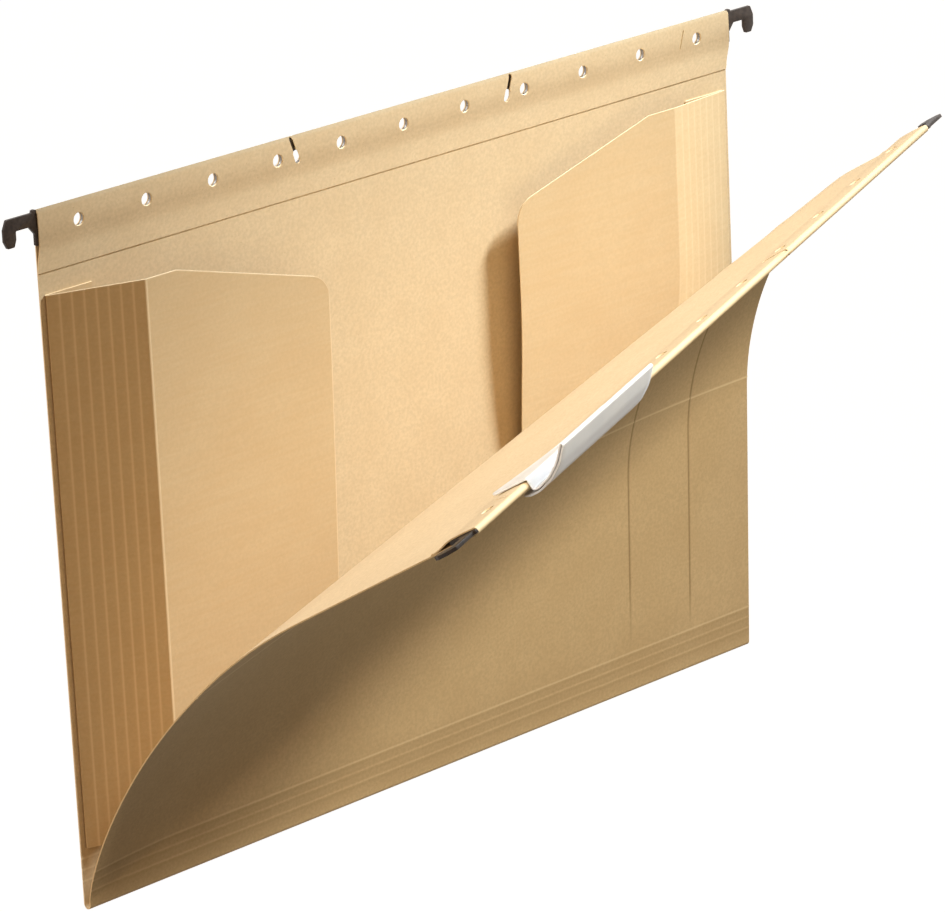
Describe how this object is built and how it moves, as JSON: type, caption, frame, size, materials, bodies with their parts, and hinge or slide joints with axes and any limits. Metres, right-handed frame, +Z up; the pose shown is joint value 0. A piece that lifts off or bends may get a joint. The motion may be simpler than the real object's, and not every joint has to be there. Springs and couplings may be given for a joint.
{
  "type": "hanging file folder",
  "caption": "Open hanging file folder of kraft card with hooked steel rails in its hems, folding side flaps on the back panel and a clear index tab on the cover.",
  "frame": {"origin": "middle of the line between the two hook seats of the back rail, in the middle of the rail's thickness", "axes": "+X along the back rail to the right as seen from the cover's side, -Y towards the opened cover, +Z up"},
  "size_m": [0.3549, 0.1776, 0.2402],
  "materials": {
    "kraft_card": "matte",
    "flap_card": "matte",
    "rail_steel": "satin",
    "tab_plastic": "gloss",
    "label_paper": "matte"
  },
  "bodies": {
    "folder_back": {"back_panel": "kraft_card", "back_hem": "kraft_card", "back_rail": "rail_steel", "bottom_fold": "kraft_card", "left_glue_tab": "flap_card", "right_glue_tab": "flap_card"},
    "cover_base": {"cover_panel_1": "kraft_card"},
    "cover_strip_1": {"cover_panel_2": "kraft_card"},
    "cover_strip_2": {"cover_panel_3": "kraft_card"},
    "cover_strip_3": {"cover_panel_4": "kraft_card"},
    "cover_strip_4": {"cover_panel_5": "kraft_card"},
    "cover_top": {"cover_panel_6": "kraft_card", "front_hem": "kraft_card", "front_rail": "rail_steel"},
    "left_gusset_leaf": {"left_gusset": "flap_card"},
    "left_face_leaf": {"left_flap_face": "flap_card"},
    "right_gusset_leaf": {"right_gusset": "flap_card"},
    "right_face_leaf": {"right_flap_face": "flap_card"},
    "index_tab_holder": {"index_tab": "tab_plastic"},
    "index_tab_label": {"index_label": "label_paper"}
  },
  "joints": [
    {"name": "cover_fold", "type": "hinge", "parent": "folder_back", "child": "cover_base", "pos_m": [0, -0.00183, -0.2334], "axis": [1, 0, 0], "range_deg": [0, 90]},
    {"name": "cover_curl", "type": "hinge", "parent": "cover_base", "child": "cover_strip_1", "pos_m": [0, -0.00339, -0.17892], "axis": [0.9496, -0.009, 0.3134], "range_deg": [-12, 3]},
    {"name": "cover_bend_2", "type": "hinge", "parent": "cover_strip_1", "child": "cover_strip_2", "pos_m": [0.00011, -0.00694, -0.16387], "axis": [0.9353, -0.0194, 0.3532], "range_deg": [-12.05, 3.05]},
    {"name": "cover_bend_3", "type": "hinge", "parent": "cover_strip_2", "child": "cover_strip_3", "pos_m": [0.00077, -0.01706, -0.14185], "axis": [0.9371, -0.0171, 0.3487], "range_deg": [-12.05, 3.05]},
    {"name": "cover_bend_4", "type": "hinge", "parent": "cover_strip_3", "child": "cover_strip_4", "pos_m": [0.00285, -0.03682, -0.11463], "axis": [0.9521, 0.0194, 0.3051], "range_deg": [-12.05, 3.05]},
    {"name": "cover_bend_5", "type": "hinge", "parent": "cover_strip_4", "child": "cover_top", "pos_m": [0.00756, -0.06873, -0.08531], "axis": [0.9668, 0.1121, 0.2295], "range_deg": [-12.05, 3.05]},
    {"name": "left_gusset_fold", "type": "hinge", "parent": "folder_back", "child": "left_gusset_leaf", "pos_m": [-0.1566, -0.00003, -0.11825], "axis": [0, 0, -1], "range_deg": [-23.56, 5.93]},
    {"name": "left_face_crease", "type": "hinge", "parent": "left_gusset_leaf", "child": "left_face_leaf", "pos_m": [-0.12737, -0.01304, -0.11825], "axis": [0, 0, 1], "range_deg": [-26.5, 6.66]},
    {"name": "right_gusset_fold", "type": "hinge", "parent": "folder_back", "child": "right_gusset_leaf", "pos_m": [0.1566, -0.00003, -0.11825], "axis": [0, 0, 1], "range_deg": [-2.99, 0.79]},
    {"name": "right_face_crease", "type": "hinge", "parent": "right_gusset_leaf", "child": "right_face_leaf", "pos_m": [0.12464, -0.0017, -0.11825], "axis": [0, 0, -1], "range_deg": [-2.4, 0.64]},
    {"name": "tab_shift", "type": "slide", "parent": "cover_top", "child": "index_tab_holder", "axis": [0.9534, 0.2661, 0.1424], "range_m": [-0.0233, 0.2203]},
    {"name": "label_slide", "type": "slide", "parent": "index_tab_holder", "child": "index_tab_label", "axis": [0.9534, 0.2661, 0.1424], "range_m": [-0.048, 0.048]}
  ],
  "couplings": [
    {"joint": "cover_bend_2", "follows": "cover_curl", "ratio": 1},
    {"joint": "cover_bend_3", "follows": "cover_curl", "ratio": 1},
    {"joint": "cover_bend_4", "follows": "cover_curl", "ratio": 1},
    {"joint": "cover_bend_5", "follows": "cover_curl", "ratio": 1},
    {"joint": "left_gusset_fold", "follows": "cover_curl", "ratio": 1.9592},
    {"joint": "left_face_crease", "follows": "cover_curl", "ratio": 2.2041},
    {"joint": "right_gusset_fold", "follows": "cover_curl", "ratio": 0.2449},
    {"joint": "right_face_crease", "follows": "cover_curl", "ratio": 0.19592}
  ]
}
